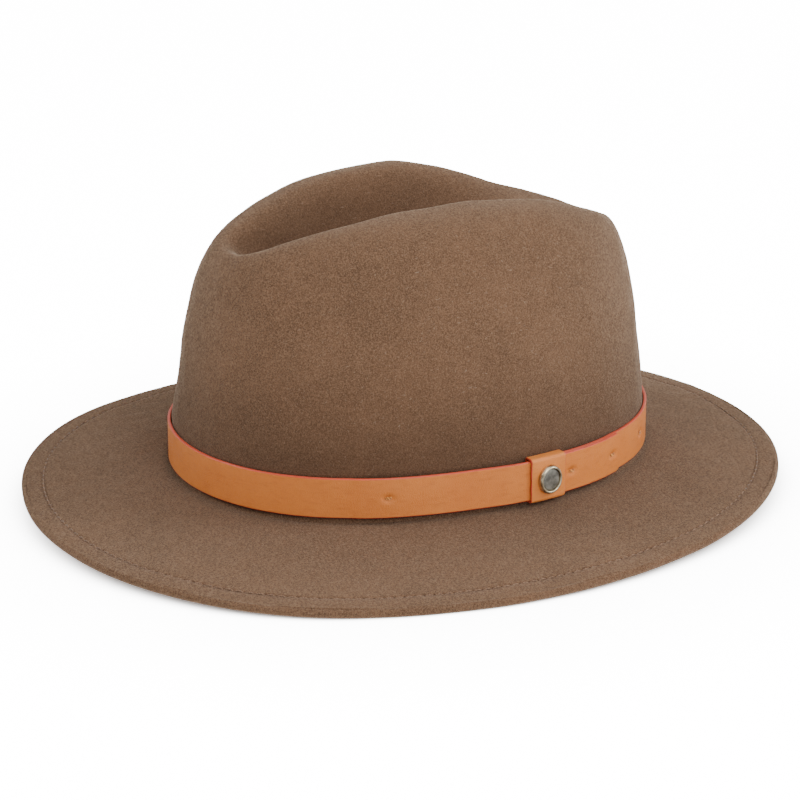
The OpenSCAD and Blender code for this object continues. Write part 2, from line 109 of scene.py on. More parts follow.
def oval(a, d=0.0):
    """Point on the four-arc head oval whose outward direction is a, moved out by d."""
    side = np.abs(np.sin(a)) < math.sin(JOIN)
    x = np.where(side, (SIDE_R + d) * np.cos(a) - SIDE_C * np.sign(np.cos(a)), (END_R + d) * np.cos(a))
    y = np.where(side, (SIDE_R + d) * np.sin(a), (END_R + d) * np.sin(a) + END_C * np.sign(np.sin(a)))
    return x, y


def outward(a):
    """Unit vectors that point out of the oval at directions a."""
    return np.stack([np.cos(a), np.sin(a), 0 * a], -1)


def plan_angle(a):
    """Angle of the oval's point on a stretched circle."""
    x, y = oval(a)
    return np.arctan2(y / HALF_L, x / HALF_W)


def rim_xy(a):
    """Plan of the crown's top rim."""
    g = plan_angle(a)
    e = np.where(np.sin(g) < 0, 2 / RIM_F_POWER, 2 / RIM_B_POWER)
    x = RIDGE_HALF * spow(np.cos(g), e)
    y = (RIM_B - RIM_F) / 2 + (RIM_B + RIM_F) / 2 * spow(np.sin(g), e)
    return x, y


def ridge_z(y):
    """Height of the crown's ridges along the hat."""
    ahead = np.maximum(0, RIDGE_Y - y) / (RIDGE_Y + RIM_F)
    behind = np.maximum(0, y - RIDGE_Y) / (RIM_B - RIDGE_Y)
    return RIDGE_H - FRONT_FALL * ahead**FRONT_CURVE - BACK_FALL * behind**BACK_CURVE


def rim_z(x, y):
    return ridge_z(y) + LEAN * x / LEAN_WIDE * smooth((y - LEAN_FROM) / LEAN_LEN)


def bell(x, width):
    """1 at x = 0, falling off evenly on both sides."""
    return np.exp(-((x / width) ** 2))


def pinched(x, y, z):
    """Moves a crown point in where the two front dents are."""
    u = bell(y - PINCH_Y, PINCH_LEN) * bell(z - PINCH_Z, PINCH_TALL)
    return x - np.sign(x) * PINCH * u * smooth(np.abs(x) / PINCH_WIDE), y, z


def wall_pt(a, t):
    """Crown wall, from the band's top at t = 0 to the rim at t = 1."""
    nx, ny = np.cos(a), np.sin(a)
    x0, y0 = oval(a)
    rx, ry = rim_xy(a)
    zr = rim_z(rx, ry)
    z1 = WALL_TOP + mix3(a, WALL_RISE) * (zr - WALL_TOP)
    inset = mix3(a, WALL_INSET) * (z1 - WALL_TOP)
    out = mix3(a, WALL_OUT)
    x = bez(x0, x0 - nx * inset, rx + (x0 - rx) * out, rx, t)
    y = bez(y0, y0 - ny * inset, ry + (y0 - ry) * out, ry, t)
    return pinched(x, y, bez(WALL_TOP, z1, zr, zr, t))


def crease_z(y):
    """Height of the crease's floor along the hat."""
    t = np.clip((y + RIM_F) / (RIM_B + RIM_F), 0, 1)
    peak = 0.4**CREASE_A * 0.6**CREASE_B
    return ridge_z(y) - CREASE * t**CREASE_A * (1 - t) ** CREASE_B / peak


def crease_xy(a):
    g = plan_angle(a)
    return CREASE_W * np.cos(g), (CREASE_BACK - CREASE_F) / 2 + (CREASE_BACK + CREASE_F) / 2 * np.sin(g)


def top_pt(a, t):
    """Crown top, from the rim at t = 0 down to the crease at t = 1."""
    rx, ry = rim_xy(a)
    zr = rim_z(rx, ry)
    vx, vy = crease_xy(a)
    zv = crease_z(vy)
    x = bez(rx, rx + (vx - rx) * 0.35, vx + (rx - vx) * 0.5, vx, t)
    y = bez(ry, ry + (vy - ry) * 0.35, vy + (ry - vy) * 0.5, vy, t)
    return pinched(x, y, bez(zr, zr, zv, zv, t))


def brim_w(a):
    even = BRIM_END_W * np.sin(a) ** 2 + BRIM_SIDE_W * np.cos(a) ** 2
    return even - BRIM_MORE_Y * np.sin(a) - BRIM_MORE_X * np.cos(a)


def edge_z(a):
    """Height of the brim's edge: a gentle wave around the hat."""
    tilt = 0.45 * np.sin(a) - 2.12 * np.cos(a)
    wave = 1.79 * np.sin(2 * a) - 1.66 * np.cos(2 * a) - 0.47 * np.cos(4 * a)
    return tilt + wave - BRIM_DROP


def brim_z(a, d):
    edge = edge_z(a)
    t = (d - FOOT_W) / (brim_w(a) - FOOT_W)
    return FOOT_Z + (edge - FOOT_Z) * (1.3 * t - 0.3 * t * t)


def foot_pt(a, t):
    """Rounded foot between the crown and the brim."""
    x, y = oval(a, bez(0, 0, 0.9, FOOT_W, t))
    return x, y, bez(WALL_FOOT, WALL_FOOT - 1.5, FOOT_Z + 0.1, FOOT_Z, t) + 0 * x


def brim_pt(a, d, dz=0.0):
    """Brim's top face at offset d from the oval, moved up by dz."""
    x, y = oval(a, d)
    return x, y, brim_z(a, d) + dz


def even_angles(n, at=30.0, first=-math.pi / 2):
    """n directions from first that are evenly spaced along the oval at offset at."""
    a = np.linspace(first, first + 2 * math.pi, 4001)
    x, y = oval(a, at)
    s = np.concatenate([[0], np.cumsum(np.hypot(np.diff(x), np.diff(y)))])
    return np.interp((np.arange(n) + 0.5) / n * s[-1], s, a)


def lump(p, scale, seed):
    """Smooth repeatable noise, mostly within -1..1, whose waves are about scale long."""
    g = np.random.default_rng(seed)
    out = np.zeros(p.shape[:-1])
    for _ in range(7):
        k = g.normal(size=3)
        k *= 2 * math.pi / scale / np.linalg.norm(k) * g.uniform(0.6, 1.5)
        out += np.sin(p @ k + g.uniform(0, 6.28))
    return out / 3.2


# ---- mesh tools
def new_object(name, verts, faces, material, body, nodes):
    """Mesh object from points in millimetres that rides on body and stands for nodes."""
    mesh = bpy.data.meshes.new(name)
    mesh.from_pydata([tuple(v) for v in np.asarray(verts) * MM], [], [tuple(f) for f in faces])
    bm = bmesh.new()
    bm.from_mesh(mesh)
    bmesh.ops.recalc_face_normals(bm, faces=bm.faces)
    bm.to_mesh(mesh)
    bm.free()
    for p in mesh.polygons:
        p.use_smooth = True
    obj = bpy.data.objects.new(name, mesh)
    bpy.context.scene.collection.objects.link(obj)
    for m in material if isinstance(material, (list, tuple)) else [material]:
        mesh.materials.append(m)
    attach(obj, body)
    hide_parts(*nodes)
    return obj


def grid_faces(rows, cols, close_rows=False, base=0):
    """Faces of a grid whose rows are closed rings; close_rows joins the last row to the first."""
    faces = []
    for i in range(rows if close_rows else rows - 1):
        for j in range(cols):
            k, l = (i + 1) % rows, (j + 1) % cols
            faces.append((base + i * cols + j, base + i * cols + l, base + k * cols + l, base + k * cols + j))
    return faces


def end_faces(rows, cols):
    """Faces that close the first and the last ring of a grid across their narrow width."""
    last = (rows - 1) * cols
    faces = []
    for j in range(cols // 2 - 1):
        k = cols - 1 - j
        faces.append((j, j + 1, k - 1, k))
        faces.append((last + j, last + k, last + k - 1, last + j + 1))
    return faces


class Build:
    """Collects several grids into one mesh."""

    def __init__(self):
        self.v, self.f, self.n = [], [], 0

    def grid(self, p, close_rows=False, caps=False):
        rows, cols = p.shape[:2]
        first = self.n
        self.v.append(p.reshape(-1, 3))
        self.n += rows * cols
        self.f += grid_faces(rows, cols, close_rows, first)
        if caps:
            for row in (0, rows - 1):
                self.v.append(p[row].mean(0)[None])
                for j in range(cols):
                    self.f.append((self.n, first + row * cols + j, first + row * cols + (j + 1) % cols))
                self.n += 1

    def make(self, name, material, slot, body, nodes):
        return new_object(name, np.vstack(self.v), self.f, material, body, nodes)


def ring_piece(name, p, material, slot, node, body="hat"):
    """One closed loop of rows as a piece of its own."""
    b = Build()
    b.grid(lifted(p), close_rows=True)
    return b.make(name, material, slot, body, (node,))


def rounded(w, h, r, step, arc):
    """Closed outline of a w by h rectangle with corner radius r, as (u, v) points."""
    out = []
    for cx, cy, s in ((1, -1, -90), (1, 1, 0), (-1, 1, 90), (-1, -1, 180)):
        for k in range(arc + 1):
            t = math.radians(s + 90 * k / arc)
            out.append((cx * (w / 2 - r) + r * math.cos(t), cy * (h / 2 - r) + r * math.sin(t)))
    full = []
    for i, p in enumerate(out):
        q = out[(i + 1) % len(out)]
        n = max(1, int(round(math.dist(p, q) / step)))
        full += [(p[0] + (q[0] - p[0]) * k / n, p[1] + (q[1] - p[1]) * k / n) for k in range(n)]
    return np.array(full)


def circle(r, n):
    t = np.arange(n) * 2 * math.pi / n
    return np.stack([r * np.cos(t), r * np.sin(t)], -1)


def sweep(c, u, v, prof):
    """Rows of prof placed at centres c with axes u and v."""
    return c[:, None] + prof[None, :, 0, None] * u[:, None] + prof[None, :, 1, None] * v[:, None]


def tube(path, r, n):
    """Grid for a round thread along an open path."""
    path = np.asarray(path, float)
    t = np.gradient(path, axis=0)
    t /= np.linalg.norm(t, axis=1)[:, None]
    u = np.cross(t, UP)
    u /= np.linalg.norm(u, axis=1)[:, None] + 1e-12
    return sweep(path, u, np.cross(u, t), circle(r, n))


def xyz(parts):
    """Array of points from separate x, y and z arrays or numbers."""
    return np.stack(np.broadcast_arrays(*parts), -1).astype(float)


def lifted(p):
    """Moves points from band height 0 to the resting plane's heights."""
    return p + BAND_Z * UP


def at_oval(a, d, z):
    """Origin, outward, along and up directions at a place on the head oval."""
    x, y = oval(np.array(a), d)
    n = np.array([math.cos(a), math.sin(a), 0.0])
    t = np.array([-math.sin(a), math.cos(a), 0.0])
    return np.array([float(x), float(y), z + BAND_Z]), n, t, UP


# ---- materials
def srgb(r, g, b):
    def lin(c):
        c /= 255
        return c / 12.92 if c <= 0.04045 else ((c + 0.055) / 1.055) ** 2.4

    return (lin(r), lin(g), lin(b), 1.0)


class Mat:
    """Small helper around a node tree; coordinates are the object's own, in metres."""

    def __init__(self, name, rough=0.6, metal=0.0, sheen=0.0, sheen_tint=(1, 1, 1, 1), spec=0.5):
        self.m = bpy.data.materials.new(name)
        self.m.use_nodes = True
        self.t = self.m.node_tree
        self.b = self.t.nodes["Principled BSDF"]
        self.b.inputs["Roughness"].default_value = rough
        self.b.inputs["Metallic"].default_value = metal
        self.b.inputs["Specular IOR Level"].default_value = spec
        self.b.inputs["Sheen Weight"].default_value = sheen
        self.b.inputs["Sheen Roughness"].default_value = 0.45
        self.b.inputs["Sheen Tint"].default_value = sheen_tint
        self.co = self.t.nodes.new("ShaderNodeTexCoord").outputs["Object"]
        self.bumped = None

    def node(self, kind, **values):
        """New node; a value goes to the input of that name, or else to the node's property."""
        n = self.t.nodes.new(kind)
        for k, v in values.items():
            if k in n.inputs:
                self.put(n.inputs[k], v)
            else:
                setattr(n, k, v)
        return n

    def noise(self, scale, detail=3.0, rough=0.55, stretch=None, distort=0.0):
        co = self.co
        if stretch:
            co = self.node("ShaderNodeMapping", Vector=co, Scale=stretch).outputs[0]
        return self.node("ShaderNodeTexNoise", Vector=co, Scale=scale, Detail=detail, Roughness=rough,
                         Distortion=distort).outputs["Fac"]

    def ramp(self, fac, lo, hi, a=0.0, b=1.0):
        return self.node("ShaderNodeMapRange", **{"Value": fac, "From Min": lo, "From Max": hi,
                                                  "To Min": a, "To Max": b, "clamp": True}).outputs[0]

    def put(self, socket, value):
        """Links value to socket if it is an output, else sets it."""
        if isinstance(value, bpy.types.NodeSocket):
            self.t.links.new(value, socket)
        else:
            socket.default_value = value

    def math(self, op, a, b=0.0):
        n = self.t.nodes.new("ShaderNodeMath")
        n.operation = op
        self.put(n.inputs[0], a)
        self.put(n.inputs[1], b)
        return n.outputs[0]

    def mix(self, fac, a, b):
        """Colour that goes from a to b as fac goes from 0 to 1."""
        n = self.t.nodes.new("ShaderNodeMix")
        n.data_type = "RGBA"
        for key, v in (("Factor_Float", fac), ("A_Color", a), ("B_Color", b)):
            self.put(next(i for i in n.inputs if i.identifier == key), v)
        return next(o for o in n.outputs if o.identifier == "Result_Color")

    def bump(self, height, distance, strength=1.0):
        n = self.node("ShaderNodeBump", Height=height, Distance=distance, Strength=strength)
        if self.bumped is not None:
            self.t.links.new(self.bumped, n.inputs["Normal"])
        self.bumped = n.outputs[0]

    def done(self, color=None, rough=None):
        if color is not None:
            self.t.links.new(color, self.b.inputs["Base Color"])
        if rough is not None:
            self.t.links.new(rough, self.b.inputs["Roughness"])
        if self.bumped is not None:
            self.t.links.new(self.bumped, self.b.inputs["Normal"])
        return self.m


def felt_material():
    m = Mat("wool_felt", rough=0.95, sheen=0.18, sheen_tint=(0.9, 0.72, 0.56, 1), spec=0.08)
    dark, mid, pale = srgb(79, 56, 40), srgb(133, 103, 79), srgb(200, 176, 154)
    cloudy = m.noise(24, 4, 0.6)
    patchy = m.noise(150, 3, 0.6)
    fine = m.noise(1750, 4, 0.75)
    nap = m.noise(3400, 3, 0.6, distort=0.6)
    fibre_a = m.noise(520, 2, 0.5, stretch=(1.0, 6.0, 3.0), distort=1.2)
    fibre_b = m.noise(520, 2, 0.5, stretch=(6.0, 1.0, 2.0), distort=1.2)
    base = m.mix(m.ramp(fine, 0.41, 0.59), dark, mid)
    base = m.mix(m.ramp(nap, 0.45, 0.65, 0.0, 0.3), base, dark)
    base = m.mix(m.ramp(patchy, 0.3, 0.75, 0.0, 0.16), base, srgb(150, 116, 90))
    base = m.mix(m.ramp(cloudy, 0.38, 0.72, 0.0, 0.22), base, srgb(150, 112, 84))
    hair = m.math("MAXIMUM", m.ramp(fibre_a, 0.67, 0.73), m.ramp(fibre_b, 0.67, 0.73))
    base = m.mix(m.math("MULTIPLY", hair, 0.3), base, pale)
    # stray pale kemp hairs, sparse and short
    kemp = m.ramp(m.noise(900, 1, 0.4, stretch=(1.0, 3.5, 1.5)), 0.79, 0.83)
    base = m.mix(m.math("MULTIPLY", kemp, 0.55), base, srgb(222, 198, 168))
    # painted sheen: the colour is lightened where the surface turns away, where the nap catches light
    facing = m.node("ShaderNodeLayerWeight", Blend=0.3).outputs["Facing"]
    base = m.mix(m.ramp(facing, 0.2, 0.6, 0.0, 0.3), base, srgb(138, 116, 98))
    base = m.mix(m.ramp(facing, 0.55, 0.9, 0.0, 0.75), base, pale)
    # painted shade and painted highlight: seen edge on, the nap parts into tufts, darkened between them and
    # lightened on them
    tuft = m.noise(1050, 4, 0.75)
    turned = m.ramp(facing, 0.1, 0.65, 0.14, 0.75)
    base = m.mix(m.math("MULTIPLY", m.ramp(tuft, 0.49, 0.61), turned), base, dark)
    base = m.mix(m.math("MULTIPLY", m.ramp(tuft, 0.51, 0.40, 0.0, 0.45), turned), base, srgb(194, 164, 134))
    # painted shade: the felt darkens in the crease, the dents and the foot of the crown, from ambient
    # occlusion
    open_sky = m.node("ShaderNodeAmbientOcclusion", Distance=0.07, samples=8, only_local=True).outputs["AO"]
    base = m.mix(m.ramp(open_sky, 0.4, 1.0, 0.8, 0.0), base, srgb(58, 38, 26))
    # painted shade: the felt is darkened around and just above the band, most at 30 to 32 mm up, fading out
    # by 16 mm and by 88 mm
    height = m.node("ShaderNodeSeparateXYZ", Vector=m.co).outputs[2]
    low = m.math("MULTIPLY", m.ramp(height, 0.032, 0.088, 0.34, 0.0), m.ramp(height, 0.016, 0.03))
    base = m.mix(low, base, srgb(66, 44, 31))
    m.bump(m.math("ADD", m.math("MULTIPLY", nap, 0.6), fine), 0.0006, 0.75)
    m.bump(hair, 0.00012, 0.6)
    # sewn line along the brim edge: sunk channel and needle holes, from the mesh's UV map
    uv = m.node("ShaderNodeSeparateXYZ", Vector=m.node("ShaderNodeUVMap", uv_map="stitch").outputs[0])
    across = m.math("ABSOLUTE", uv.outputs[1])
    along = m.math("ABSOLUTE", m.math("SUBTRACT", m.math("FRACT", uv.outputs[0]), 0.5))
    step = m.math("MULTIPLY", m.math("SUBTRACT", 0.5, along), 4.8)
    reach = m.math("SQRT", m.math("ADD", m.math("POWER", step, 2), m.math("POWER", across, 2)))
    hole = m.ramp(reach, 0.25, 0.6, 1.0, 0.0)
    line = m.ramp(across, 0.2, 1.0, 1.0, 0.0)
    # painted shade in the sunk channel and the needle holes
    base = m.mix(m.math("MULTIPLY", line, 0.1), base, srgb(84, 60, 44))
    base = m.mix(m.math("MULTIPLY", hole, 0.36), base, srgb(58, 40, 29))
    m.bump(m.math("MULTIPLY", hole, -1.0), 0.0004, 1.0)
    return m.done(base)


def leather_material(name, pale, mid, dark, rough, grain=1.0):
    m = Mat(name, rough=rough, spec=0.45)
    cloudy = m.noise(45, 4, 0.6)
    cells = m.node("ShaderNodeTexVoronoi", Vector=m.co, Scale=1500, feature="DISTANCE_TO_EDGE")
    pores = cells.outputs["Distance"]
    fine = m.noise(2600, 3, 0.6)
    streak = m.noise(160, 3, 0.6, stretch=(1, 1, 4))
    base = m.mix(m.ramp(cloudy, 0.3, 0.7), mid, pale)
    base = m.mix(m.ramp(streak, 0.52, 0.75, 0, 0.35), base, dark)
    base = m.mix(m.ramp(pores, 0.0, 0.12, 0.22, 0.0), base, dark)
    # painted shade: the leather darkens in its crevices, from ambient occlusion
    crevice_shade = m.node("ShaderNodeAmbientOcclusion", Distance=0.003, samples=6, only_local=True).outputs["AO"]
    base = m.mix(m.ramp(crevice_shade, 0.35, 0.9, 0.6, 0.0), base, tuple(0.35 * c for c in dark[:3]) + (1.0,))
    m.bump(m.math("ADD", m.ramp(pores, 0.0, 0.22), m.math("MULTIPLY", fine, 0.5)), 0.00009 * grain, 0.8)
    m.bump(cloudy, 0.0008, 0.3)
    return m.done(base, m.ramp(cloudy, 0.2, 0.8, rough - 0.06, rough + 0.1))


def edge_paint_material(name, color):
    m = Mat(name, rough=0.38, spec=0.5)
    rub = m.noise(500, 3, 0.6)
    base = m.mix(m.ramp(rub, 0.5, 0.75, 0, 0.45), color, srgb(150, 70, 44))
    m.bump(rub, 0.00008, 0.6)
    return m.done(base)


def thread_material(name, a, b):
    m = Mat(name, rough=0.7, sheen=0.3)
    strand = m.node("ShaderNodeTexWave", Vector=m.co, Scale=2600 / 6.28, Distortion=2.0, Detail=2.0,
                    bands_direction="DIAGONAL").outputs["Fac"]
    fuzz = m.noise(4000, 2)
    m.bump(m.math("ADD", strand, m.math("MULTIPLY", fuzz, 0.5)), 0.00012, 0.8)
    return m.done(m.mix(m.ramp(strand, 0.2, 0.8), a, b))


def weave_material(name, a, b, count, rough=0.65, shine=0.3):
    """Plain weave with about count / 2 threads to the metre."""
    m = Mat(name, rough=rough, sheen=0.3, spec=shine)

    def bands(axis):
        return m.node("ShaderNodeTexWave", Vector=m.co, Scale=count / 6.28, Distortion=0.6,
                      bands_direction=axis).outputs["Fac"]

    warp, weft, rise = bands("X"), bands("Y"), bands("Z")
    woven = m.math("MULTIPLY", m.math("ADD", warp, weft), m.math("ADD", rise, 0.6))
    m.bump(woven, 0.0001, 0.6)
    tone = m.noise(90, 3)
    return m.done(m.mix(m.ramp(tone, 0.3, 0.7), a, b))


def satin_material():
    m = Mat("lining_satin", rough=0.33, sheen=0.25, spec=0.5)
    m.b.inputs["Anisotropic"].default_value = 0.6
    rib = m.node("ShaderNodeTexWave", Vector=m.co, Scale=420, Distortion=0.8,
                 bands_direction="Z").outputs["Fac"]
    slub = m.noise(700, 3, 0.6, stretch=(1, 1, 9))
    tone = m.noise(30, 4)
    m.bump(m.math("ADD", rib, slub), 0.00004, 0.6)
    base = m.mix(m.ramp(tone, 0.3, 0.7), srgb(150, 112, 72), srgb(170, 130, 88))
    return m.done(m.mix(m.ramp(slub, 0.55, 0.8, 0, 0.3), base, srgb(112, 80, 50)))


def metal_material(name, low, high, rough, scale=900, wear_and_highlight=0.5):
    m = Mat(name, rough=rough, metal=1.0)
    patina = m.noise(260, 5, 0.65)
    grit = m.noise(scale, 3, 0.6)
    point = m.node("ShaderNodeNewGeometry").outputs["Pointiness"]
    base = m.mix(m.ramp(patina, 0.35, 0.65), low, high)
    # worn edges and painted highlight: convex edges are lightened towards pale brass
    base = m.mix(m.ramp(point, 0.5, 0.62, 0, wear_and_highlight), base, (0.78, 0.70, 0.52, 1))
    m.bump(grit, 0.00006, 0.6)
    return m.done(base, m.ramp(patina, 0.3, 0.7, rough - 0.08, rough + 0.16))


def plastic_material():
    m = Mat("reed_plastic", rough=0.35)
    haze = m.noise(300, 3)
    m.bump(haze, 0.00005, 0.5)
    return m.done(m.mix(m.ramp(haze, 0.3, 0.7), srgb(222, 216, 202), srgb(200, 192, 176)))


FELT = felt_material()
STRAP = leather_material("strap_leather", srgb(222, 131, 56), srgb(214, 121, 48), srgb(180, 90, 30), 0.46)
KEEPER = leather_material("keeper_leather", srgb(228, 138, 64), srgb(220, 128, 54), srgb(184, 94, 36), 0.46)
EDGE = edge_paint_material("edge_paint", srgb(206, 78, 50))
SWEAT = leather_material("sweat_leather", srgb(150, 104, 68), srgb(132, 90, 58), srgb(98, 64, 40), 0.5, 1.3)
BRIM_THREAD = thread_material("brim_thread", srgb(146, 113, 87), srgb(114, 85, 63))
TACK_THREAD = thread_material("tack_thread", srgb(222, 148, 66), srgb(158, 92, 36))
SWEAT_THREAD = thread_material("sweat_thread", srgb(196, 158, 110), srgb(160, 122, 80))
LABEL_THREAD = thread_material("label_thread", srgb(130, 84, 56), srgb(100, 62, 40))
TAPE = weave_material("tape_fabric", srgb(76, 54, 40), srgb(64, 45, 33), 3200)
BOW = weave_material("bow_ribbon", srgb(72, 50, 37), srgb(58, 40, 30), 2600)
LABEL = weave_material("label_fabric", srgb(226, 214, 190), srgb(212, 198, 172), 3600)
SATIN = satin_material()
CORD = weave_material("cord_satin", srgb(92, 62, 42), srgb(78, 52, 36), 2400, 0.4, 0.5)
BRASS = metal_material("stud_metal", (0.22, 0.18, 0.12, 1), (0.60, 0.52, 0.36, 1), 0.30)
INLAY = metal_material("stud_inlay", (0.13, 0.125, 0.11, 1), (0.32, 0.31, 0.27, 1), 0.40, 1500, 0.15)
PLATE = metal_material("plate_metal", (0.5, 0.5, 0.5, 1), (0.62, 0.62, 0.62, 1), 0.3)
REED = plastic_material()


# ---- felt body
def build_felt():
    n = 560
    a = even_angles(n)
    rows = [xyz(top_pt(a, 1 - v)) for v in np.linspace(0, 1, 70)[:-1]]
    wall = np.linspace(1, 0, 130)
    rows += [xyz(wall_pt(a, t)) for t in wall]
    x0, y0 = oval(a)
    rows += [xyz((x0, y0, z)) for z in np.linspace(WALL_TOP, WALL_FOOT, 18)[1:]]
    rows += [xyz(foot_pt(a, t)) for t in np.linspace(0, 1, 9)[1:]]
    w = brim_w(a)
    flat = w - HEM_W - 1.5
    rows += [xyz(brim_pt(a, FOOT_W + (flat - FOOT_W) * t)) for t in np.linspace(0, 1, 46)[1:]]
    hem_first = len(rows)
    hem_steps = np.linspace(HEM_W + 1.3, 1.1 * FELT_T + 0.15, 34)
    for k in hem_steps:
        groove = -0.34 * bell(k - STITCH_IN, 0.8) + 0.08 * bell(k - 5.5, 2.4)
        rows.append(xyz(brim_pt(a, w - k, groove)))
    top_rows = len(rows)
    outer = np.array(rows)
    # unit normals of the outer sheet, for its lumps and for the under side
    du = np.roll(outer, -1, 1) - np.roll(outer, 1, 1)
    dv = np.gradient(outer, axis=0)
    nrm = np.cross(dv, du)
    nrm /= np.linalg.norm(nrm, axis=2)[..., None] + 1e-12
    nrm[0] = (0, 0, 1)
    near_band = bell(outer[..., 2] - 8, 12.0) * (np.hypot(outer[..., 0], outer[..., 1]) < 112)
    hand = 0.30 * lump(outer, 46, 1) + 0.10 * lump(outer, 14, 2) + 0.035 * lump(outer, 4.5, 3)
    hand = hand * (1 - near_band)
    outer_l = outer + nrm * hand[..., None]
    pts = [outer_l]
    r = FELT_T
    # rounded brim edge
    for s in np.radians(np.linspace(90, -90, 17)):
        bulge = 0.12 * lump(xyz((x0, y0, 0 * x0)), 30, 5)
        x, y, z = brim_pt(a, w - 1.1 * r + 1.1 * r * math.cos(s) + bulge * math.cos(s), -r + r * math.sin(s))
        pts.append(xyz((x, y, z))[None])
    # underside of the turned hem, then its cut edge
    hem = ((3.5, 3.62), (6.0, 3.58), (HEM_W - 1.2, 3.6), (HEM_W - 0.5, 3.4), (HEM_W, 2.7), (HEM_W + 0.3, 1.9))
    for k, drop in hem:
        ruck = 0.08 * lump(xyz((x0, y0, 0 * x0)), 9, 6)
        pts.append(xyz(brim_pt(a, w - k + ruck, -drop))[None])
    inner = outer - nrm * FELT_T
    keep = list(range(hem_first - 1, -1, -2))
    inner_l = inner + nrm * hand[..., None]
    pts.append(inner_l[keep])
    if keep[-1] != 0:
        pts.append(inner_l[:1])
    p = lifted(np.concatenate(pts))
    m = len(p)
    faces = grid_faces(m, n) + end_faces(m, n)
    obj = new_object("felt_hood", p.reshape(-1, 3), faces, FELT, "hat", ("felt_body",))
    # UV map: stitch number along the brim, millimetres from the stitch line across it
    uv = obj.data.uv_layers.new(name="stitch")
    phase = np.tile((np.arange(n) + 0.5) / n * STITCHES, (m, 1))
    away = np.full((m, n), 50.0)
    away[hem_first:top_rows] = (STITCH_IN - hem_steps)[:, None]
    loops = np.zeros(len(obj.data.loops), int)
    obj.data.loops.foreach_get("vertex_index", loops)
    u = phase.reshape(-1)[loops]
    v = away.reshape(-1)[loops]
    starts = np.zeros(len(obj.data.polygons), int)
    obj.data.polygons.foreach_get("loop_start", starts)
    totals = np.zeros(len(obj.data.polygons), int)
    obj.data.polygons.foreach_get("loop_total", totals)
    lowest = np.minimum.reduceat(u, starts)
    wrap = np.repeat(np.maximum.reduceat(u, starts) - lowest > STITCHES / 2, totals)
    u = np.where(wrap & (u < STITCHES / 2), u + STITCHES, u)
    uv.data.foreach_set("uv", np.stack([u, v], -1).reshape(-1).astype(np.float32))


def build_brim_thread():
    n = STITCHES * 10
    a = even_angles(n)
    phase = (np.arange(n) + 0.5) / 10.0
    hump = np.abs(np.sin(math.pi * phase))
    rise = -1.15 + 1.12 * hump**0.55
    side = 0.10 * np.sin(2 * math.pi * phase + 0.6) * hump
    p = xyz(brim_pt(a, brim_w(a) - STITCH_IN + side, rise))
    p = sweep(p, outward(a), np.tile(UP, (n, 1)), circle(BRIM_THREAD_R, 8))
    ring_piece("brim_running_stitch", p, BRIM_THREAD, "brim_thread", "brim_stitching")


# ---- strap
def strap_lift(a):
    """How far the strap stands off the felt to leave room for the keeper."""
    return KEEPER_LIFT * (1 - smooth((np.abs(np.degrees(a)) - 15) / 11))


def lap_lift(a):
    """How far the strap's lapped end stands off, on top of its own start."""
    return (STRAP_T + 0.15) * smooth((np.degrees(a) + 4) / 9)


def strap_off(a):
    """Offset of the strap's inner face; a runs from the tip down past -180 degrees."""
    d = np.degrees(a)
    wrapped = np.where(d < -180, a + 2 * math.pi, a)
    lap = np.where(d > -180, lap_lift(a), 0.0)
    return STRAP_GAP + strap_lift(wrapped) + lap


def dimple(a, z, which):
    """How far the face is pulled in around the thread tacks."""
    pull = 0 * z
    for t in TACKS:
        if (t < TIP_A) != which:
            continue
        w = (a - t) * np.where(abs(t) < JOIN, SIDE_R, END_R)
        r2 = (w / 2.6) ** 2 + ((z - STRAP_H / 2) / 1.7) ** 2
        pull = pull + 1.1 * np.exp(-r2) - 0.26 * np.exp(-r2 / 5)
    return pull


def build_strap():
    first, last = TIP_A, math.radians(7 - 360)
    a = np.linspace(first, last, 900)
    near = [t + np.linspace(-6, 6, 41) / SIDE_R * (1 if abs(t) < JOIN else SIDE_R / END_R) for t in TACKS]
    a = np.sort(np.concatenate([a] + [np.where(t < last, t + 2 * math.pi, t) for t in near]))[::-1]
    a = a[(a <= first) & (a >= last)]
    n = len(a)
    prof = rounded(STRAP_T, STRAP_H, 0.42, 0.45, 4)
    off = strap_off(a)
    rows = []
    for k in range(n):
        s = min(1.0, (first - a[k]) * END_R / 3.0)
        trim = 2.0 * (1 - math.sqrt(max(0.0, 1 - (1 - s) ** 2)))
        z = STRAP_H / 2 + prof[:, 1] * (1 - 2 * trim / STRAP_H)
        d = off[k] + STRAP_T / 2 + prof[:, 0]
        wrapped = a[k] if a[k] > -math.pi else a[k] + 2 * math.pi
        outer = smooth((prof[:, 0] + STRAP_T / 2) / STRAP_T)
        on_top = a[k] > -math.pi
        pull = dimple(np.full(len(z), wrapped), z, on_top) if (on_top or wrapped > TIP_A) else 0 * z
        x, y = oval(np.full(len(z), a[k]), d - pull * outer * 0.9)
        rows.append(xyz((x, y, z)))
    p = np.array(rows)
    wave = 0.10 * lump(p, 60, 11) + 0.035 * lump(p, 16, 12)
    p = p + outward(a)[:, None] * wave[..., None]
    b = Build()
    b.grid(lifted(p), caps=True)
    obj = b.make("strap_leather", [STRAP, EDGE], "strap_leather", "hat", ("hatband_strap",))
    paint_edges(obj, lambda c: abs(c[2] / MM - BAND_Z - STRAP_H / 2) > STRAP_H / 2 - 0.34)


def paint_edges(obj, test):
    """Gives the faces whose middle passes the test the painted-edge material."""
    for poly in obj.data.polygons:
        if test(poly.center):
            poly.material_index = 1


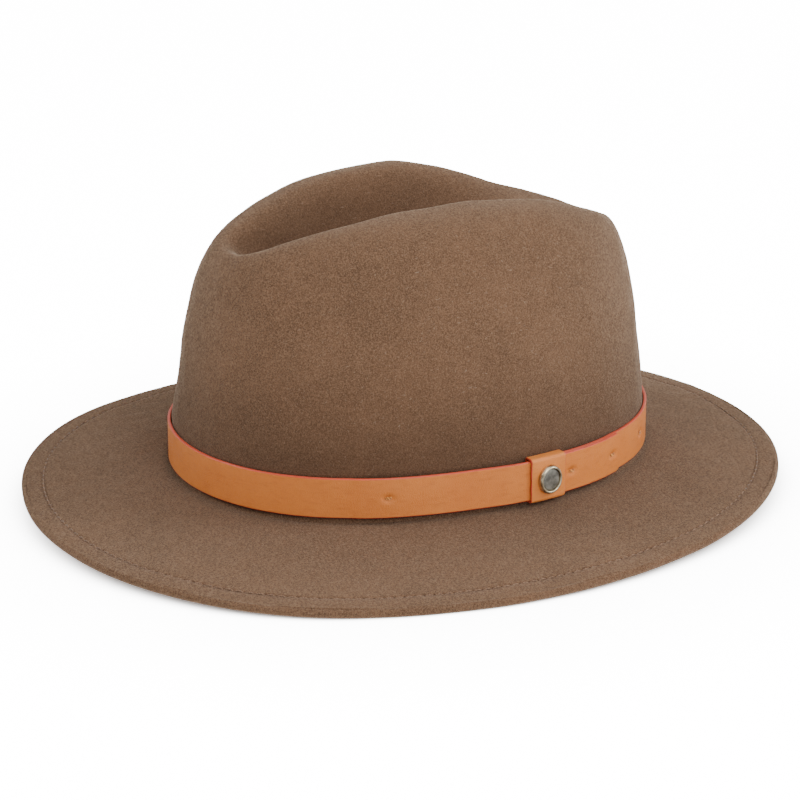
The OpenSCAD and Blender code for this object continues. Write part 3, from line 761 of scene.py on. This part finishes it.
def build_tacks():
    b = Build()
    for a in TACKS:
        on_top = a < TIP_A
        lap = float(lap_lift(np.array(a))) if on_top else 0
        face = STRAP_GAP + float(strap_lift(np.array(a))) + STRAP_T + lap
        o, n, t, u = at_oval(a, 0.0, STRAP_H / 2)
        for k in (-1, 0, 1):
            s = np.linspace(-1, 1, 25)
            out = face - 0.95 + 0.85 * (1 - np.abs(s) ** 4) - 1.6 * smooth((np.abs(s) - 0.85) / 0.15)
            path = o + n * out[:, None] + t * (s * 1.6)[:, None] + u * (k * 0.46 * (1 - 0.5 * s * s))[:, None]
            b.grid(tube(path, TACK_THREAD_R, 8), caps=True)
    b.make("strap_thread_tacks", TACK_THREAD, "tack_thread", "hat", ("strap_tacks",))


def arc_pt(d, w, z):
    """Point on the left side arc: offset d, distance w along the arc from the keeper's middle."""
    a = KEEPER_A + w / SIDE_R
    return (SIDE_R + d) * np.cos(a) - SIDE_C, (SIDE_R + d) * np.sin(a), z


def build_keeper():
    inner, outer = STRAP_GAP, LOOP_OUT + KEEPER_T
    low, high = -0.15 - KEEPER_T, STRAP_H + 0.15 + KEEPER_T
    t = KEEPER_T
    path = rounded(outer - inner - t, high - low - t, 1.1, 0.6, 8)
    path = path + np.array([(inner + outer) / 2, (low + high) / 2])
    nxt, prv = np.roll(path, -1, 0), np.roll(path, 1, 0)
    tan = nxt - prv
    tan /= np.linalg.norm(tan, axis=1)[:, None]
    nrm = np.stack([tan[:, 1], -tan[:, 0]], -1)
    prof = rounded(t, KEEPER_W, 0.32, 0.7, 3)
    rows = []
    for c, nn in zip(path, nrm):
        d = c[0] + prof[:, 0] * nn[0]
        z = c[1] + prof[:, 0] * nn[1]
        # the outer face rolls in towards its two cut edges, which are not quite straight
        roll = 0.18 * smooth((np.abs(prof[:, 1]) - 6) / 3) * (d > STRAP_OUT)
        along = prof[:, 1] + 0.10 * np.sin(c[1] * 0.9)
        rows.append(xyz(arc_pt(d - roll, along, z)))
    finish = [KEEPER, EDGE]
    obj = ring_piece("keeper_leather", np.array(rows), finish, "keeper_leather", "strap_keeper", "keeper")
    half = KEEPER_W / 2 - 0.3

    def on_edge(c):
        a = math.atan2(c[1] / MM, c[0] / MM + SIDE_C)
        return abs((a - KEEPER_A) * SIDE_R) > half

    paint_edges(obj, on_edge)


def oval_turn(prof, half_w, half_h):
    """Rows for a turned oval: prof is (inset from the outline, height outward)."""
    o, out, t, u = at_oval(KEEPER_A, LOOP_OUT + KEEPER_T + 0.05, STRAP_H / 2)
    s = np.arange(72) * 2 * math.pi / 72
    rows = []
    for inset, h in prof:
        w, hh = max(half_w - inset, 0.02), max(half_h - inset, 0.02)
        rows.append(o + t * (w * np.cos(s))[:, None] + u * (hh * np.sin(s))[:, None] + out * h)
    return np.array(rows)


def build_stud():
    b = Build()
    rim = [(2.2, 0.0), (0.3, 0.0), (0.05, 0.1), (0.0, 0.35), (0.0, 1.1), (0.1, 1.55), (0.32, 1.95),
           (0.62, 2.22), (0.95, 2.28), (1.22, 2.12), (1.36, 1.8), (1.4, 1.4), (1.4, 1.02), (2.6, 1.0),
           (5.4, 1.0)]
    b.grid(oval_turn(rim, STUD_W / 2, STUD_H / 2), caps=True)
    o, out, t, u = at_oval(KEEPER_A, LOOP_OUT - 0.38, STRAP_H / 2)
    for s in (-1, 1):
        c = np.array([o + u * s * 3.0 + out * h for h in np.linspace(0, 1.45, 5)])
        b.grid(sweep(c, np.tile(t, (5, 1)), np.tile(u, (5, 1)), rounded(1.5, 0.62, 0.15, 0.4, 2)), caps=True)
    b.make("stud_rim", BRASS, "stud_metal", "keeper", ("stud_body",))
    c = Build()
    face = [(1.46, 1.03), (1.44, 1.3), (1.52, 1.48), (1.75, 1.56), (2.2, 1.6), (3.0, 1.66), (4.4, 1.7),
            (5.6, 1.71)]
    c.grid(oval_turn(face, STUD_W / 2, STUD_H / 2), caps=True)
    c.make("stud_inlay", INLAY, "stud_inlay", "keeper", ("stud_face",))


# ---- sweatband
def build_sweatband():
    n = 620
    a = even_angles(n, -5, math.pi / 2)
    zs = np.linspace(SWEAT_LOW, SWEAT_TOP, 44)
    fr = (zs - SWEAT_LOW) / SWEAT_H
    out_d = SWEAT_D - SWEAT_LEAN * fr
    prof = [(d, z) for d, z in zip(out_d, zs)]
    top = (out_d[-1] - SWEAT_T / 2, zs[-1])
    turn = (0.8, 1.57, 2.3)
    prof += [(top[0] + SWEAT_T / 2 * math.cos(t), top[1] - 0.15 + 0.3 * math.sin(t)) for t in turn]
    prof += [(d - SWEAT_T, z) for d, z in zip(out_d[::-1], zs[::-1])]
    prof += [(out_d[0] - SWEAT_T / 2, zs[0] - 0.12)]
    prof = np.array(prof)
    at_back = np.minimum(np.arange(n) + 0.5, n - np.arange(n) - 0.5) * 0.95
    rows = []
    for d, z in prof:
        inner = d < SWEAT_D - SWEAT_LEAN * (z - SWEAT_LOW) / SWEAT_H - SWEAT_T * 0.6
        # the butted ends at the back, and the line that the stitches press in
        gap = 0.28 * bell(at_back, 0.8) - 0.12 * bell(at_back, 2.6) if inner else 0 * a
        press = 0.16 * bell(z - STITCH_Z, 0.7) if inner else 0.0
        x, y = oval(a, d + gap + press)
        rows.append(xyz((x, y, z)))
    p = np.array(rows)
    fade = smooth((p[..., 2] - 2) / 12)
    p = p - outward(a)[None] * (fade * 0.14 * (1 + lump(p * np.array([1, 1, 0.3]), 42, 21)))[..., None]
    ring_piece("sweatband_leather", p, SWEAT, "sweat_leather", "sweatband")


def loop_of(prof, a):
    """Profile of (offset, height) points carried around the oval."""
    rows = []
    for d, z in prof:
        x, y = oval(a, d)
        rows.append(xyz((x, y, z)))
    return np.array(rows)


def build_reed():
    a = even_angles(360, -5)
    ring = circle(REED_R, 16) + np.array([REED_D, REED_Z])
    ring_piece("reed_cord", loop_of(ring, a), REED, "reed_plastic", "sweatband_reed")
    t = np.radians(np.linspace(0, -300, 31))
    outer, inner = 1.43, 1.1
    prof = [(REED_D + outer, z) for z in np.linspace(6, -2.6, 8)]
    prof += [(REED_D + outer * math.cos(k), REED_Z + outer * math.sin(k)) for k in t]
    prof += [(REED_D + inner * math.cos(k), REED_Z + inner * math.sin(k)) for k in t[::-1]]
    prof += [(REED_D + inner, z) for z in np.linspace(-2.6, 6, 8)]
    n = 720
    a = even_angles(n, -5)
    p = loop_of(prof, a)
    # every second column stands proud, as ribs across the tape where it wraps the reed
    ribs = 0.03 * np.cos(np.arange(n) * math.pi)
    p = p + outward(a)[None] * ribs[None, :, None] * (p[..., 2:3] < 0)
    ring_piece("reed_tape_wrap", p, TAPE, "tape_fabric", "reed_tape")


def build_sweat_stitches():
    b = Build()
    centres = even_angles(SWEAT_STITCHES, -5)
    for a in centres:
        o, n, t, u = at_oval(float(a), SWEAT_D - SWEAT_T - 0.12, STITCH_Z)
        s = np.linspace(-1, 1, 9)
        depth = 0.42 * (1 - np.abs(s) ** 3) - 0.22
        path = o - n * depth[:, None] + t * (s * 1.55)[:, None] + u * (0.22 * s)[:, None]
        b.grid(tube(path, SWEAT_THREAD_R, 7), caps=True)
    b.make("sweatband_stitches", SWEAT_THREAD, "sweat_thread", "hat", ("sweatband_stitching",))


def build_bow():
    b = Build()
    off = SWEAT_D - SWEAT_T - BOW_CLEAR
    o, n, t, u = at_oval(math.pi / 2, off, 7.5)
    ring_r = END_R + off

    def bent(along):
        return -n * (along**2 / (2 * ring_r))[:, None] + t * along[:, None]

    prof = rounded(0.42, 4.6, 0.16, 0.8, 3)
    for s in (-1, 1):
        k = np.linspace(0, 2 * math.pi, 49)[:-1]
        along = s * (6.1 + 5.0 * np.cos(k))
        depth = 1.05 * np.sin(k) * (0.65 + 0.35 * np.cos(k))
        c = o + bent(along) - n * depth[:, None]
        tan = np.roll(c, -1, 0) - np.roll(c, 1, 0)
        tan /= np.linalg.norm(tan, axis=1)[:, None]
        side = np.cross(tan, u)
        pinch = 0.72 + 0.28 * smooth(np.abs(along) / 5)
        high = prof[None, :, 1] * pinch[:, None]
        p = c[:, None] + prof[None, :, 0, None] * side[:, None] + high[..., None] * u
        b.grid(p, close_rows=True)
        q = np.linspace(0, 1, 14)
        tail = o + bent(s * (0.8 + 3.2 * q)) - u * (1.5 + 5.6 * q)[:, None]
        tail = tail - n * (0.2 + 0.4 * np.sin(3 * q))[:, None]
        tt = np.gradient(tail, axis=0)
        tt /= np.linalg.norm(tt, axis=1)[:, None]
        across = np.cross(tt, n)
        b.grid(sweep(tail, np.tile(n, (14, 1)), across, rounded(0.42, 3.0, 0.16, 0.8, 3)), caps=True)
    k = np.linspace(-1, 1, 15)
    c = o + u * (k * 2.5)[:, None]
    p = sweep(c, np.tile(n, (15, 1)), np.tile(t, (15, 1)), rounded(2.3, 3.2, 0.9, 0.6, 4))
    squeeze = (1 - 0.25 * k**6)[:, None, None]
    b.grid(c[:, None] + (p - c[:, None]) * squeeze, caps=True)
    b.make("sweatband_ribbon_bow", BOW, "bow_ribbon", "hat", ("sweatband_bow",))


# ---- lining
def wall_normal(a, t):
    """Crown wall points and their outward unit normals."""
    p = xyz(wall_pt(a, t))
    da = xyz(wall_pt(a + 0.004, t)) - xyz(wall_pt(a - 0.004, t))
    dt = xyz(wall_pt(a, t + 0.004)) - xyz(wall_pt(a, t - 0.004 if t > 0.004 else 0.0))
    n = np.cross(da, dt)
    return p, n / np.linalg.norm(n, axis=-1)[..., None]


def lining_row(a, t, depth):
    p, n = wall_normal(a, t)
    return p - n * depth


def tip_row(a, t, drop=0.0):
    """Ring of the lining's tip, from its seam at t = 0 to below the crease at t = 1."""
    s = lining_row(a, 2 - SEAM_V, FELT_T + LINING_GAP + LINING_T + 0.5)
    vx, vy = crease_xy(a)
    c = xyz((vx, vy, crease_z(vy) - FELT_T - TIP_CLEAR))
    q = s + (c - s) * 0.3
    q[:, 2] = s[:, 2]
    r = c + (s - c) * 0.6
    r[:, 2] = c[:, 2]
    return bez(s, q, r, c, t) - drop * UP


def cloth(points, faces, pinned, cap, frames, grow):
    """Runs a short cloth simulation on a sheet and returns its points, moved at most cap mm."""
    mesh = bpy.data.meshes.new("sheet_sim")
    mesh.from_pydata([tuple(v) for v in points * MM], [], faces)
    obj = bpy.data.objects.new("sheet_sim", mesh)
    bpy.context.scene.collection.objects.link(obj)
    group = obj.vertex_groups.new(name="pin")
    group.add([int(i) for i in np.nonzero(pinned)[0]], 1.0, "REPLACE")
    mod = obj.modifiers.new("Cloth", "CLOTH")
    s = mod.settings
    s.quality = 6
    s.mass = 0.05
    s.tension_stiffness = s.compression_stiffness = 8
    s.shear_stiffness = 3
    s.bending_stiffness = 0.02
    s.vertex_group_mass = "pin"
    s.shrink_min = -grow
    s.effector_weights.gravity = 0.25
    mod.collision_settings.use_collision = False
    mod.point_cache.frame_start, mod.point_cache.frame_end = 1, frames
    scene = bpy.context.scene
    for f in range(1, frames + 1):
        scene.frame_set(f)
    ev = obj.evaluated_get(bpy.context.evaluated_depsgraph_get())
    co = np.zeros(len(ev.data.vertices) * 3)
    ev.data.vertices.foreach_get("co", co)
    moved = co.reshape(-1, 3) / MM - points
    scene.frame_set(1)
    bpy.data.objects.remove(obj, do_unlink=True)
    size = np.linalg.norm(moved, axis=1)
    limit = cap * np.tanh(size / np.maximum(cap, 1e-6))
    return points + moved * (limit / np.maximum(size, 1e-9))[:, None]


def build_lining():
    # side panel: a sheet from behind the sweatband up to the seam, gathered at the top
    n, rows = 300, 34
    a = even_angles(n, -5)
    ts = np.linspace(0, 2 - SEAM_V, rows - 4)
    depth = FELT_T + LINING_GAP + 0.55 * LINING_T
    x, y = oval(a, -depth)
    sheet = [xyz((x, y, z)) for z in np.linspace(LINING_LOW, WALL_TOP, 5)[:-1]]
    sheet += [lining_row(a, t, depth) for t in ts]
    p = np.array(sheet)
    up = p[..., 2]
    gather = smooth((up - 34) / 30)
    phase = np.arange(n) / n * GATHERS * 2 * math.pi + 0.9 * lump(p, 30, 31)
    _, nrm = wall_normal(a, 0.3)
    inward = -nrm[None]
    fold = (0.55 * (1 + np.sin(phase)) * gather + 0.5 * smooth((up - 32) / 12) * (1 + lump(p, 26, 32)))
    p = p + inward * fold[..., None]
    faces = grid_faces(rows, n)
    flat = p.reshape(-1, 3)
    pinned = np.zeros((rows, n), bool)
    pinned[:8] = True
    pinned[-1] = True
    cap = (np.clip(smooth((up - 34) / 14) * 2.4, 0.02, 3)).reshape(-1)
    cap[-n:] = 0.02
    done = cloth(flat, faces, pinned.reshape(-1), cap, 14, 0.05)
    move = done - flat
    normals = np.tile(nrm, (rows, 1))
    proud = np.einsum("ij,ij->i", move, normals)
    done -= normals * np.maximum(proud - 0.15, 0)[:, None]
    flat = done
    p = flat.reshape(rows, n, 3)
    t = LINING_T * 0.35
    both = np.concatenate([p - inward * t / 2, p[::-1] + inward * t / 2])
    ring_piece("lining_side_panel", both, SATIN, "lining_satin", "lining_side")
    # tip panel: an oval sheet that sags a little between its seam and the crease
    n, rows = 240, 30
    a = even_angles(n, -5)
    p = np.array([tip_row(a, t) for t in np.linspace(0, 1, rows)])
    flat = p.reshape(-1, 3)
    faces = grid_faces(rows, n)
    pinned = np.zeros((rows, n), bool)
    pinned[0] = True
    edge = np.linspace(0, 1, rows)[:, None] + np.zeros((1, n))
    label = np.exp(-((p[..., 0] / 19) ** 4) - ((p[..., 1] / 27) ** 4))
    cap = (0.05 + 2.2 * smooth(edge / 0.25) * (1 - label)).reshape(-1)
    done = cloth(flat, faces, pinned.reshape(-1), cap, 12, 0.03)
    done[:, 2] = np.minimum(done[:, 2], flat[:, 2] + 0.8)
    flat = done
    p = flat.reshape(rows, n, 3)
    t = LINING_T * 0.35
    both = np.concatenate([p[::-1], p - t * UP])
    m = len(both)
    faces = grid_faces(m, n) + end_faces(m, n)
    new_object("lining_tip_panel", lifted(both).reshape(-1, 3), faces, SATIN, "hat",
               ("lining_tip",))
    # cord in the seam
    n = 480
    a = even_angles(n, -5)
    out = outward(a)
    c = tip_row(a, 0.0, 0.9 + LINING_T + 0.3) - 0.3 * out
    twist = np.arange(n) * 0.45
    k = np.arange(12) * 2 * math.pi / 12
    ring = CORD_R * (1 + 0.10 * np.cos(2 * (k[None] + twist[:, None])))
    p = c[:, None] + (ring * np.cos(k))[..., None] * out[:, None] + (ring * np.sin(k))[..., None] * UP
    ring_piece("lining_seam_cord", p, CORD, "cord_satin", "lining_cord")


LABEL_Z = float(crease_z(np.array(0.0))) - FELT_T - TIP_CLEAR - LINING_T - 4.2
LABEL_T, TACK_PITCH = 0.4, 4
WOVEN_SIZE, TAB_SIZE, CARE_SIZE = (30, 46), (12, 13), (18, 25)


def slab(w, h, t, r, wave, seed, cells=20):
    """Thin rounded plate as one closed grid around u: local x is across, y up, z thickness."""
    b = np.linspace(-1, 1, 2 * cells)
    rows = []
    prof = rounded(w, t, min(t * 0.48, 0.2), w / 24, 3)
    for s in b:
        edge = max(0.0, abs(s) * h / 2 - (h / 2 - r))
        cut = r - math.sqrt(max(0.0, r * r - edge * edge))
        k = (w - 2 * cut) / w
        y = s * h / 2
        bow = wave * np.sin(prof[:, 0] * 0.31 + seed) * np.cos(y * 0.23 + seed)
        rows.append(np.stack([prof[:, 0] * k, np.full(len(prof), y), prof[:, 1] + bow], -1))
    return np.array(rows)


def place(p, o, x, y, z):
    return o + p[..., 0:1] * x + p[..., 1:2] * y + p[..., 2:3] * z


def build_labels():
    b = Build()
    ex, ey = np.array([1.0, 0, 0]), np.array([0, 1.0, 0])
    o = np.array([0, 0, BAND_Z + LABEL_Z - LABEL_T / 2])
    b.grid(place(slab(*WOVEN_SIZE, LABEL_T, 1.2, 0.05, 2, 30), o, ex, ey, UP), caps=True)
    b.make("lining_label", LABEL, "label_fabric", "hat", ("woven_label",))
    s = Build()
    k = np.linspace(-1, 1, 9)
    sag = UP * (0.22 + 0.22 * (1 - k * k))[:, None]
    for side in (-1, 1):
        for half, across, along, ends in ((5, ex, ey, 13.8), (3, ey, ex, 21.8)):
            for i in range(-half, half + 1):
                path = o + across * side * ends + along * (i * TACK_PITCH + k * 1.25)[:, None] - sag
                s.grid(tube(path, LABEL_THREAD_R, 6), caps=True)
    s.make("lining_label_stitches", LABEL_THREAD, "label_thread", "hat", ("label_stitches",))
    c = Build()
    d = SWEAT_D - SWEAT_LEAN - SWEAT_T / 2 - 0.1
    o, n, t, u = at_oval(math.pi, d, SWEAT_H - 1.2 + TAB_SIZE[1] / 2)
    c.grid(place(slab(*TAB_SIZE, LABEL_T, 0.8, 0.04, 3), o, t, u, n), caps=True)
    c.make("size_tab_cloth", LABEL, "label_fabric", "size_tab", ("size_tab",))
    e = Build()
    d = SWEAT_D - SWEAT_LEAN - SWEAT_T - 0.75 - 0.2
    o, n, t, u = at_oval(math.radians(118), d, 3 + CARE_SIZE[1] / 2)
    e.grid(place(slab(*CARE_SIZE, LABEL_T, 0.8, 0.06, 4), o, t, u, n), caps=True)
    e.make("care_label_cloth", LABEL, "label_fabric", "care_label", ("care_label",))


# ---- build it
build_felt()
build_brim_thread()
build_strap()
build_tacks()
build_keeper()
build_stud()
build_sweatband()
build_reed()
build_sweat_stitches()
build_bow()
build_lining()
build_labels()
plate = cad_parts["stud_backplate"]
plate.data.materials.clear()
plate.data.materials.append(PLATE)


# ---- studio
def build_floor():
    bm = bmesh.new()
    bmesh.ops.create_grid(bm, x_segments=40, y_segments=40, size=12)
    mesh = bpy.data.meshes.new("floor")
    bm.to_mesh(mesh)
    bm.free()
    floor = bpy.data.objects.new("floor", mesh)
    floor.location.z = -0.0004
    bpy.context.scene.collection.objects.link(floor)
    m = Mat("floor_paper", rough=0.9, spec=0.1)
    tone = m.noise(3, 2)
    # brightly lit white paper with a soft contact shade, as seen by the camera only
    seen = m.node("ShaderNodeLightPath").outputs["Is Camera Ray"]
    shade = m.node("ShaderNodeAmbientOcclusion", Distance=0.16, samples=12).outputs["AO"]
    glow = m.math("MULTIPLY", m.math("MULTIPLY", seen, PAPER_GLOW), m.math("POWER", shade, 1.6))
    m.t.links.new(glow, m.b.inputs["Emission Strength"])
    m.b.inputs["Emission Color"].default_value = (1, 1, 1, 1)
    mesh.materials.append(m.done(m.mix(m.ramp(tone, 0.3, 0.7), (0.93, 0.93, 0.93, 1), (0.95, 0.95, 0.95, 1))))
    # clear from below and to the under light, so that the inside of the hat can be looked at
    clear = m.t.nodes.new("ShaderNodeBsdfTransparent")
    through = m.math("MAXIMUM", m.node("ShaderNodeNewGeometry").outputs["Backfacing"],
                     m.node("ShaderNodeLightPath").outputs["Is Shadow Ray"])
    both = m.t.nodes.new("ShaderNodeMixShader")
    m.t.links.new(through, both.inputs[0])
    m.t.links.new(m.b.outputs[0], both.inputs[1])
    m.t.links.new(clear.outputs[0], both.inputs[2])
    m.t.links.new(both.outputs[0], m.t.nodes["Material Output"].inputs["Surface"])


def direction(azimuth, elevation):
    """Unit vector for an azimuth and an elevation in degrees; azimuth 0 is the hat's front."""
    az, el = math.radians(azimuth), math.radians(elevation)
    return Vector((math.sin(az) * math.cos(el), -math.cos(az) * math.cos(el), math.sin(el)))


def area_light(name, azimuth, elevation, distance, size, power):
    """Round softbox aimed at the hat."""
    data = bpy.data.lights.new(name, "AREA")
    data.shape = "DISK"
    data.size = size
    data.energy = power
    obj = bpy.data.objects.new(name, data)
    away = direction(azimuth, elevation)
    obj.location = Vector((0, 0, 0.06)) + away * distance
    obj.rotation_mode = "QUATERNION"
    obj.rotation_quaternion = away.to_track_quat("Z", "Y")
    obj.visible_camera = False
    bpy.context.scene.collection.objects.link(obj)


def build_world():
    world = bpy.data.worlds.new("studio")
    world.use_nodes = True
    tree = world.node_tree
    bg = tree.nodes["Background"]
    bg.inputs["Color"].default_value = (1.0, 1.0, 1.0, 1)
    path = tree.nodes.new("ShaderNodeLightPath")
    value = ROOM
    for ray, strength in (("Is Glossy Ray", ROOM_SHINE), ("Is Camera Ray", PAPER_GLOW)):
        mix = tree.nodes.new("ShaderNodeMapRange")
        mix.inputs["To Max"].default_value = strength
        if isinstance(value, float):
            mix.inputs["To Min"].default_value = value
        else:
            tree.links.new(value, mix.inputs["To Min"])
        tree.links.new(path.outputs[ray], mix.inputs["Value"])
        value = mix.outputs[0]
    tree.links.new(value, bg.inputs["Strength"])
    bpy.context.scene.world = world


# camera: direction from the hat, distance and aim in millimetres, focal length over picture width
CAMERA_AZ, CAMERA_EL, CAMERA_FAR = 65.134, 20.139, 1337.7
CAMERA_AIM = Vector((7.7957, -8.1065, 41.9376))
CAMERA_ZOOM, SENSOR = 3.812088, 36.0


def build_camera():
    data = bpy.data.cameras.new("camera")
    data.sensor_width = SENSOR
    data.lens = CAMERA_ZOOM * SENSOR
    data.clip_start, data.clip_end = 0.05, 60
    obj = bpy.data.objects.new("camera", data)
    bpy.context.scene.collection.objects.link(obj)
    back = direction(CAMERA_AZ, CAMERA_EL)
    obj.location = (CAMERA_AIM + back * CAMERA_FAR) * MM
    obj.rotation_mode = "QUATERNION"
    obj.rotation_quaternion = (-back).to_track_quat("-Z", "Y")
    bpy.context.scene.camera = obj


# brightness of the world for the camera, for diffuse light and for reflections
PAPER_GLOW, ROOM, ROOM_SHINE = 15.0, 0.04, 0.7
# azimuth, elevation, distance, size and power of each softbox
SOFTBOXES = {
    "overhead_softbox": (65, 80, 1.6, 1.2, 6.5),
    "right_softbox": (150, 35, 1.6, 0.8, 16.5),
    "left_softbox": (-20, 35, 1.6, 0.8, 14.5),
    "front_softbox": (82, 35, 1.6, 0.9, 12.5),
    "low_softbox": (110, 12, 1.6, 0.8, 5),
    "back_softbox": (245, 55, 1.6, 0.8, 2),
    "under_softbox": (65, -75, 1.4, 1.0, 16),
}
build_floor()
for name, setup in SOFTBOXES.items():
    area_light(name, *setup)
build_world()
build_camera()
